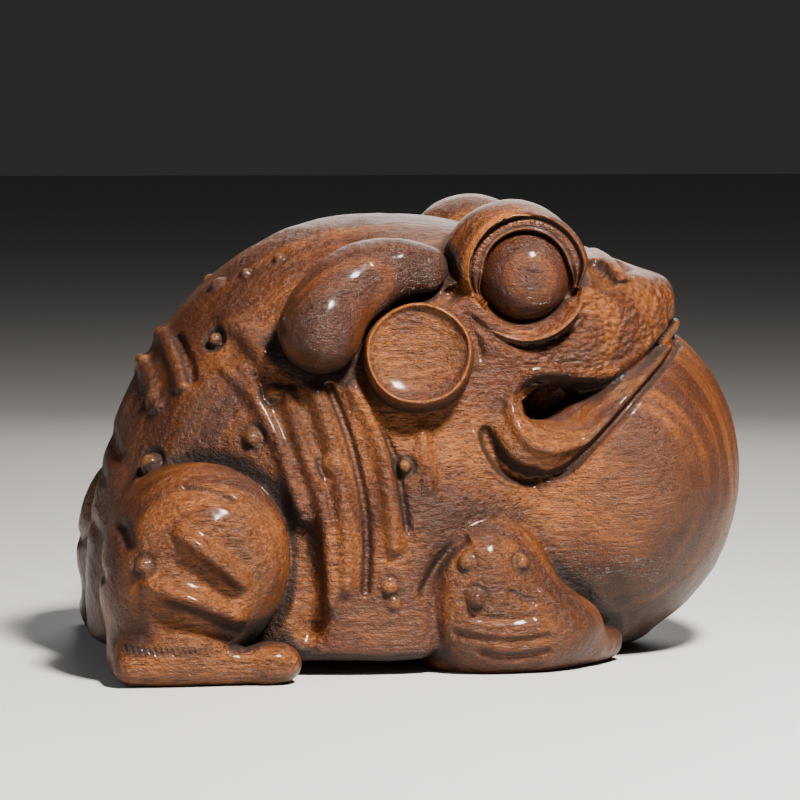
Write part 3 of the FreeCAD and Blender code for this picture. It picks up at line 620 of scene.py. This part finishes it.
def new_piece(name, points, faces, skin_normals, tones, slot):
    """A mesh object in the frame. Skin normals are per vertex; a face that isn't a quad is left flat."""
    mesh = bpy.data.meshes.new(name)
    mesh.from_pydata((ORIGIN + np.asarray(points) * MM).tolist(), [], faces)
    mesh.polygons.foreach_set("use_smooth", [True] * len(faces))
    for tone, values in tones.items():
        mesh.attributes.new(tone, "FLOAT", "POINT").data.foreach_set("value", np.asarray(values, np.float32))
    corner = np.zeros(len(mesh.loops), np.int32)
    mesh.loops.foreach_get("vertex_index", corner)
    face_normal = np.zeros(len(faces) * 3, np.float32)
    mesh.polygons.foreach_get("normal", face_normal)
    loops = np.zeros(len(faces), np.int32)
    mesh.polygons.foreach_get("loop_total", loops)
    flat = np.repeat(face_normal.reshape(-1, 3), loops, axis=0)
    on_skin = np.repeat(loops == QUAD, loops)
    split = np.where(on_skin[:, None], skin_normals[corner], flat)
    mesh.normals_split_custom_set(split.tolist())
    piece = bpy.data.objects.new(name, mesh)
    bpy.context.scene.collection.objects.link(piece)
    mesh.materials.append(WOODS[slot])
    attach(piece, "root")
    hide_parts(name)


# ---------------------------------------------------------------- wood


def wood(name, dark, middle, gold, gloss, coarse):
    """Polished hardwood: layers across Y, fibres along X, pores, painted shade in hollows and undersides, and
    rubbed edges.
    """
    material = bpy.data.materials.new(name)
    material.use_nodes = True
    nodes, links = material.node_tree.nodes, material.node_tree.links
    nodes.clear()
    place = nodes.new("ShaderNodeTexCoord").outputs["Object"]

    def maths(operation, a, b=None, clamp=False):
        node = nodes.new("ShaderNodeMath")
        node.operation = operation
        node.use_clamp = clamp
        for socket, value in zip(node.inputs, (a, b)):
            if isinstance(value, (int, float)):
                socket.default_value = value
            elif value is not None:
                links.new(value, socket)
        return node.outputs[0]

    def stretched(x, y, z):
        node = nodes.new("ShaderNodeVectorMath")
        node.operation = "MULTIPLY"
        node.inputs[1].default_value = (x / MM, y / MM, z / MM)
        links.new(place, node.inputs[0])
        return node.outputs[0]

    def noise(scales, detail, distortion=0.0, rough=0.5):
        node = nodes.new("ShaderNodeTexNoise")
        node.inputs["Scale"].default_value = 1.0
        node.inputs["Detail"].default_value = detail
        node.inputs["Roughness"].default_value = rough
        node.inputs["Distortion"].default_value = distortion
        links.new(stretched(*scales), node.inputs["Vector"])
        return node.outputs["Fac"]

    def spread(value, low, high):
        node = nodes.new("ShaderNodeMapRange")
        node.interpolation_type = "SMOOTHSTEP"
        node.inputs["From Min"].default_value = low
        node.inputs["From Max"].default_value = high
        links.new(value, node.inputs["Value"])
        return node.outputs["Result"]

    def tone(attribute):
        node = nodes.new("ShaderNodeAttribute")
        node.attribute_name = attribute
        return node.outputs["Fac"]

    def blend(factor, a, b, mode="MIX"):
        node = nodes.new("ShaderNodeMix")
        node.data_type = "RGBA"
        node.blend_type = mode
        for socket, value in ((node.inputs[0], factor), (node.inputs[6], a), (node.inputs[7], b)):
            if isinstance(value, float):
                socket.default_value = value
            elif isinstance(value, tuple):
                socket.default_value = (*value, 1.0)
            else:
                links.new(value, socket)
        return node.outputs[2]

    layers = spread(noise((0.012, 0.55, 0.05), 3.0, 0.6), 0.38, 0.62)
    cloud = noise((0.06, 0.09, 0.09), 3.0)
    fibres = noise((0.22, 3.2, 3.2), 4.0, 0.3, 0.65)
    pores = spread(noise((0.7, 7.5, 7.5), 1.0), 0.60, 0.70)
    grit = noise((5.5, 9.0, 9.0), 2.0)
    painted_shade, worn, scaly = tone("painted_shade"), tone("worn"), tone("scaly")

    colour = blend(layers, middle, gold)
    colour = blend(spread(cloud, 0.35, 0.7), colour, blend(0.7, colour, dark))
    colour = blend(spread(fibres, 0.36, 0.68), blend(0.62, colour, dark), colour)
    colour = blend(maths("MULTIPLY", pores, 0.8), colour, dark)
    colour = blend(maths("MULTIPLY", spread(worn, 0.30, 0.75), 0.7), colour, gold)
    # painted shade: recesses and undersides are mixed toward a near-black brown
    painted_shade_mask = spread(painted_shade, 0.12, 0.52)
    colour = blend(maths("MULTIPLY", painted_shade_mask, 0.93), colour, PAINTED_SHADE_COLOUR)

    cells = nodes.new("ShaderNodeTexVoronoi")
    cells.feature = "SMOOTH_F1"
    cells.inputs["Scale"].default_value = 1.0
    cells.inputs["Smoothness"].default_value = 0.4
    links.new(stretched(0.9, 1.3, 1.5), cells.inputs["Vector"])
    lumps = noise((1.1, 1.6, 1.6), 2.0)
    scales = maths("SUBTRACT", 1.0, cells.outputs["Distance"])
    relief = maths("MULTIPLY", scales, maths("MULTIPLY", scaly, 0.55))
    relief = maths("ADD", relief, maths("MULTIPLY", fibres, 0.15))
    relief = maths("ADD", relief, maths("MULTIPLY", grit, 0.16))
    relief = maths("ADD", relief, maths("MULTIPLY", lumps, 0.38 * coarse))
    relief = maths("SUBTRACT", relief, maths("MULTIPLY", pores, 0.14))
    bump = nodes.new("ShaderNodeBump")
    bump.inputs["Strength"].default_value = 1.0
    bump.inputs["Distance"].default_value = MM
    links.new(relief, bump.inputs["Height"])

    shader = nodes.new("ShaderNodeBsdfPrincipled")
    links.new(colour, shader.inputs["Base Color"])
    rough = maths("ADD", maths("MULTIPLY", grit, 0.20), maths("MULTIPLY", painted_shade_mask, 0.30))
    links.new(maths("ADD", rough, gloss), shader.inputs["Roughness"])
    links.new(bump.outputs["Normal"], shader.inputs["Normal"])
    shader.inputs["Specular IOR Level"].default_value = 0.24
    shader.inputs["Coat Weight"].default_value = 0.12
    shader.inputs["Coat Roughness"].default_value = 0.12
    output = nodes.new("ShaderNodeOutputMaterial")
    links.new(shader.outputs["BSDF"], output.inputs["Surface"])
    return material


# Linear colours: the painted shade in recesses and undersides, and the body's three tones.
PAINTED_SHADE_COLOUR = (0.011, 0.0036, 0.0015)
BROWN, CHESTNUT, GOLD = (0.014, 0.0033, 0.0009), (0.096, 0.0235, 0.0038), (0.215, 0.063, 0.0085)
# Each wood: its dark, middle and gold tones, its least roughness, and how coarse its knife marks are.
WOODS = {
    "body_wood": wood("body_wood", BROWN, CHESTNUT, GOLD, 0.22, 1.0),
    "sac_wood": wood(
        "sac_wood", (0.020, 0.0050, 0.0012), (0.080, 0.0195, 0.0034), (0.23, 0.068, 0.0105), 0.18, 0.45),
    "gland_wood": wood(
        "gland_wood", (0.011, 0.0027, 0.0008), (0.054, 0.0122, 0.0021), (0.125, 0.034, 0.0052), 0.18, 0.5),
    "eye_wood": wood(
        "eye_wood", (0.011, 0.0027, 0.0008), (0.062, 0.0142, 0.0025), (0.135, 0.038, 0.0060), 0.16, 0.4),
    "wart_wood": wood("wart_wood", BROWN, (0.13, 0.038, 0.0075), (0.28, 0.095, 0.018), 0.24, 0.6),
}
SLOTS = {"vocal_sac": "sac_wood", "ear_gland": "gland_wood", "eyeball": "eye_wood", "back_ridges": "wart_wood",
         "flank_warts": "wart_wood", "thigh_warts": "wart_wood", "arm_warts": "wart_wood"}

# ---------------------------------------------------------------- turned pieces: eyeball, lids and eardrum


def turned(profile, centre, axis, start=0.0, end=360.0, steps=360, ripple=None, sink=0.0):
    """A ring or disc about an axis. Profile rows: distance, height, painted shade, worn. Points are (X, side,
    Z).
    """
    axis = np.array(axis) / np.linalg.norm(axis)
    ahead = np.array((1.0, 0.0, 0.0)) - axis[0] * axis
    ahead /= np.linalg.norm(ahead)
    up = np.array((0.0, 0.0, 1.0)) - axis[2] * axis
    up -= (up @ ahead) * ahead
    up /= np.linalg.norm(up)
    profile = np.array(profile)
    whole = end - start >= 360.0
    angle = np.radians(np.linspace(start, end, steps, endpoint=not whole))
    rho = np.repeat(profile[None, :, 0], steps, 0)
    h = np.repeat(profile[None, :, 1], steps, 0)
    if ripple:
        rho, h = ripple(angle[:, None], rho, h)
    if not whole:
        t = np.linspace(0.0, 1.0, steps)
        full = ramp(np.minimum(t, 1.0 - t), 0.0, 0.14)[:, None]
        inner = profile[:, 0].mean()
        h = h - sink * (1.0 - full)
        rho = inner + (rho - inner) * (0.3 + 0.7 * full)
    ring = (np.array(centre) + axis * h[..., None]
            + rho[..., None] * (np.cos(angle)[:, None, None] * ahead + np.sin(angle)[:, None, None] * up))
    across = len(profile)
    number = np.arange(steps * across).reshape(steps, across)
    number[:, profile[:, 0] == 0.0] = number[0, profile[:, 0] == 0.0]
    faces = []
    for i in range(steps if whole else steps - 1):
        one, two = number[i].tolist(), number[(i + 1) % steps].tolist()
        for k in range(across):
            n = (k + 1) % across
            face = tuple(dict.fromkeys((one[k], two[k], two[n], one[n])))
            if len(face) > 2:
                faces.append(face)
    if not whole:
        faces += [tuple(number[0].tolist()), tuple(number[-1, ::-1].tolist())]
    tones = {"painted_shade": np.tile(profile[:, 2], steps), "worn": np.tile(profile[:, 3], steps)}
    return ring.reshape(-1, 3), faces, tones


def fit_turned(shape, side):
    """The turned shape on the right (side -1) or the left (side 1), facing outward, with its vertex normals."""
    points, faces, tones = shape
    used = np.unique(np.concatenate([np.array(f) for f in faces]))
    remap = np.full(len(points), -1)
    remap[used] = np.arange(len(used))
    points = points[used] * (1.0, side, 1.0)
    faces = [tuple(remap[list(f)].tolist()) for f in faces]
    thirds = np.array([(f[0], b, c) for f in faces for b, c in zip(f[1:], f[2:])])
    p, q, r = (points[thirds[:, i]] for i in range(3))
    turn = np.cross(q - p, r - p)
    if (p * turn).sum() < 0:
        turn = -turn
        faces = [f[::-1] for f in faces]
    normals = np.zeros_like(points)
    for i in range(3):
        np.add.at(normals, thirds[:, i], turn)
    normals /= np.linalg.norm(normals, axis=1, keepdims=True) + 1e-12
    return points, faces, normals, {tone: values[used] for tone, values in tones.items()}


# Profiles: distance from the axis, height, how much painted shade, how worn.
DOME_TURNS = np.radians(np.linspace(0.0, 71.0, 25))
DOME = [(EYE_RADIUS * math.sin(t), EYE_RADIUS * math.cos(t), 0.0, 0.12) for t in DOME_TURNS]
EYEBALL = DOME + [(5.32, 1.4, 0.8, 0.0), (5.36, 0.4, 1.0, 0.0), (0.0, 0.4, 1.0, 0.0)]
UPPER_LID = [(7.5, 1.4, 0.6, 0.0), (7.42, 3.1, 0.5, 0.0), (7.25, 3.7, 0.2, 0.1), (7.08, 4.05, 0.0, 0.4),
             (6.9, 4.15, 0.0, 0.5), (6.7, 3.98, 0.1, 0.3), (6.54, 3.6, 0.6, 0.0), (6.4, 3.5, 0.7, 0.0),
             (6.28, 3.62, 0.35, 0.1), (6.05, 3.84, 0.1, 0.3), (5.75, 3.86, 0.1, 0.3), (5.5, 3.72, 0.3, 0.1),
             (5.34, 3.62, 0.5, 0.1), (5.22, 3.78, 0.1, 0.4), (5.1, 3.84, 0.0, 0.5), (4.98, 3.68, 0.2, 0.3),
             (4.9, 3.2, 0.7, 0.0), (4.84, 2.4, 1.0, 0.0), (4.8, 1.0, 1.0, 0.0)]
LOWER_LID = [(5.1, 1.0, 1.0, 0.0), (5.4, 1.7, 0.6, 0.0), (5.9, 2.4, 0.3, 0.1), (6.4, 3.0, 0.1, 0.2),
             (6.85, 3.4, 0.0, 0.3), (7.1, 3.75, 0.0, 0.5), (7.28, 3.85, 0.0, 0.6), (7.42, 3.7, 0.1, 0.4),
             (7.5, 2.6, 0.7, 0.0), (7.5, 0.6, 1.0, 0.0)]
EARDRUM = [(0.0, 0.45, 0.05, 0.1), (1.5, 0.5, 0.05, 0.1), (3.0, 0.65, 0.08, 0.1), (4.2, 0.92, 0.12, 0.1),
           (5.0, 1.25, 0.2, 0.1), (5.4, 1.5, 0.3, 0.1), (5.55, 1.72, 0.2, 0.3), (5.66, 1.98, 0.0, 0.9),
           (5.78, 2.04, 0.0, 1.0), (5.9, 1.92, 0.0, 0.5), (6.08, 1.5, 0.15, 0.1), (6.22, 0.9, 0.3, 0.0),
           (6.32, 0.2, 0.5, 0.0), (6.38, -0.5, 0.8, 0.0), (6.4, -1.2, 0.9, 0.0), (0.0, -1.2, 1.0, 0.0)]


def crease_fan(angle):
    """Where fine creases cross the eye, over its upper rear, and the creases themselves."""
    fan = ramp(np.sin(angle - math.radians(30.0)), 0.35, 0.8)
    tick = np.abs(np.cos(36.0 * angle)) ** 6
    return fan, tick


def eye_creases(angle, rho, h):
    """Fine creases across the lid's two crests."""
    fan, tick = crease_fan(angle)
    band = np.exp(-(((rho - 6.1) / 0.35) ** 2)) + np.exp(-(((rho - 5.0) / 0.12) ** 2))
    return rho, h - 0.10 * fan * band * tick


def ball_creases(angle, rho, h):
    """A creased rim round the eyeball."""
    fan, tick = crease_fan(angle)
    band = ramp(rho, 4.2, 4.35) * (rho < 5.2)
    return rho, h - fan * band * (0.10 + 0.12 * tick)


def ear_wobble(angle, rho, h):
    """The eardrum is a little out of round and its rim a little uneven."""
    wider = 1.0 + 0.014 * np.sin(2 * angle + 1.0) + 0.008 * np.sin(5 * angle)
    return rho * wider, h + 0.04 * np.sin(3 * angle) * (rho > 4.0)


def lid_sag(angle, rho, h):
    """The lower lid reaches wider at its two ends."""
    return rho * (1.0 + 0.06 * np.cos(angle + math.radians(95.0)) ** 2 * (rho > 6.0)), h


TURNED = {
    "eyeball": turned(EYEBALL, EYE, EYE_AXIS, steps=432, ripple=ball_creases),
    "upper_lid": turned(UPPER_LID, EYE, EYE_AXIS, -16.0, 206.0, 432, eye_creases, sink=1.6),
    "lower_lid": turned(LOWER_LID, EYE, EYE_AXIS, 184.0, 346.0, 200, lid_sag, sink=1.6),
    "eardrum": turned(EARDRUM, EAR, EAR_AXIS, steps=240, ripple=ear_wobble),
}

# ---------------------------------------------------------------- the pieces


def scaly_skin(points):
    """How scaly the skin is: the snout's side, and the hind foot's toe end."""
    x, s, z = points[:, 0], np.abs(points[:, 1]), points[:, 2]
    lip = np.interp(x, LIP[:, 0], LIP[:, 1])
    snout = ramp(x, 7.5, 11.0) * ramp(z - lip, 0.0, 1.4) * ramp(46.5 - z, 0.0, 3.0) * ramp(s, 6.0, 8.0)
    toe = ramp(x, -21.0, -19.5) * ramp(4.6 - z, 0.0, 0.6) * ramp(s, 21.0, 22.0) * (x < -15.0)
    return np.maximum(snout, 0.8 * toe)


skin, quads = surface_nets(sample_volume())
skin, skin_normals, painted_shade, worn = settle(skin)
middles = skin[quads].mean(axis=1)
label = smooth_labels(quads, owner(*middles.T))
skin_tones = {"painted_shade": painted_shade, "worn": worn, "scaly": scaly_skin(skin)}


def make_piece(name, base, side):
    """A named piece from its share of the skin, its turned shape, or both."""
    points, faces, normals, tones = [], [], [], {"painted_shade": [], "worn": [], "scaly": []}
    if base in PIECES:
        chosen = quads[(label == PIECES.index(base)) & ((side == 0) | (np.sign(middles[:, 1]) == side))]
        used = np.unique(chosen)
        patch = np.searchsorted(used, chosen)
        tips, triangles = close_patch(patch, skin[used], skin_normals[used])
        points += [skin[used], tips]
        normals += [skin_normals[used], np.zeros_like(tips)]
        faces += patch.tolist() + triangles
        for tone, values in tones.items():
            values += [skin_tones[tone][used], np.full(len(tips), 0.5)]
    if base in TURNED:
        more_points, more_faces, more_normals, more_tones = fit_turned(TURNED[base], side)
        start = sum(len(p) for p in points)
        faces += [tuple(start + v for v in f) for f in more_faces]
        points.append(more_points)
        normals.append(more_normals)
        for tone, values in tones.items():
            values.append(more_tones.get(tone, np.zeros(len(more_points))))
    tones = {tone: np.concatenate(values) for tone, values in tones.items()}
    new_piece(name, np.vstack(points), faces, np.vstack(normals), tones, SLOTS.get(base, "body_wood"))


for base in PIECES + ["eyeball", "lower_lid", "eardrum"]:
    if base in CENTRAL:
        make_piece(base, base, 0)
    else:
        make_piece("right_" + base, base, -1)
        make_piece("left_" + base, base, 1)

# ---------------------------------------------------------------- floor, light and camera

AIM = ORIGIN + np.array((-1.2, 0.0, 29.8)) * MM
DISTANCE = 450.0 * MM
AZIMUTH, ELEVATION = math.radians(-9.0), math.radians(4.5)
LENS, SENSOR = 169.1, 36.0

floor_mesh = bpy.data.meshes.new("floor")
reach, ground = 3000.0 * MM, cad_box[0][2]
floor_corners = [(x * reach, y * reach, ground) for x, y in ((-1, -1), (1, -1), (1, 1), (-1, 1))]
floor_mesh.from_pydata(floor_corners, [], [(0, 1, 2, 3)])
floor = bpy.data.objects.new("floor", floor_mesh)
bpy.context.scene.collection.objects.link(floor)
paint = bpy.data.materials.new("floor_paint")
paint.use_nodes = True
paint.node_tree.nodes["Principled BSDF"].inputs["Base Color"].default_value = (0.46, 0.445, 0.43, 1.0)
paint.node_tree.nodes["Principled BSDF"].inputs["Roughness"].default_value = 0.6
floor_mesh.materials.append(paint)


def lamp(name, place, size, power, colour):
    """A soft square lamp that faces the toad; place is in sculpting millimetres."""
    light = bpy.data.lights.new(name, "AREA")
    light.size = size * MM
    light.energy = power
    light.color = colour
    holder = bpy.data.objects.new(name, light)
    holder.location = ORIGIN + np.array(place) * MM
    holder.rotation_mode = "QUATERNION"
    holder.rotation_quaternion = Vector(AIM - np.array(holder.location)).to_track_quat("-Z", "Y")
    bpy.context.scene.collection.objects.link(holder)


lamp("key_light", (60.0, -150.0, 240.0), 40.0, 4.0, (1.0, 0.95, 0.88))
lamp("fill_light", (-260.0, -120.0, 130.0), 140.0, 0.20, (0.85, 0.91, 1.0))
lamp("rim_light", (60.0, 260.0, 160.0), 160.0, 0.30, (1.0, 0.97, 0.93))

world = bpy.data.worlds.new("studio")
world.use_nodes = True
world.node_tree.nodes["Background"].inputs["Color"].default_value = (0.55, 0.57, 0.60, 1.0)
world.node_tree.nodes["Background"].inputs["Strength"].default_value = 0.05
bpy.context.scene.world = world

camera_data = bpy.data.cameras.new("camera")
camera_data.lens = LENS
camera_data.sensor_width = SENSOR
camera_data.clip_start = 10.0 * MM
camera_data.clip_end = 10000.0 * MM
camera = bpy.data.objects.new("camera", camera_data)
level = math.cos(ELEVATION)
toward = Vector((-math.sin(AZIMUTH) * level, math.cos(AZIMUTH) * level, -math.sin(ELEVATION)))
camera.location = Vector(AIM) - toward * DISTANCE
camera.rotation_mode = "QUATERNION"
camera.rotation_quaternion = toward.to_track_quat("-Z", "Y")
bpy.context.scene.collection.objects.link(camera)
bpy.context.scene.camera = camera
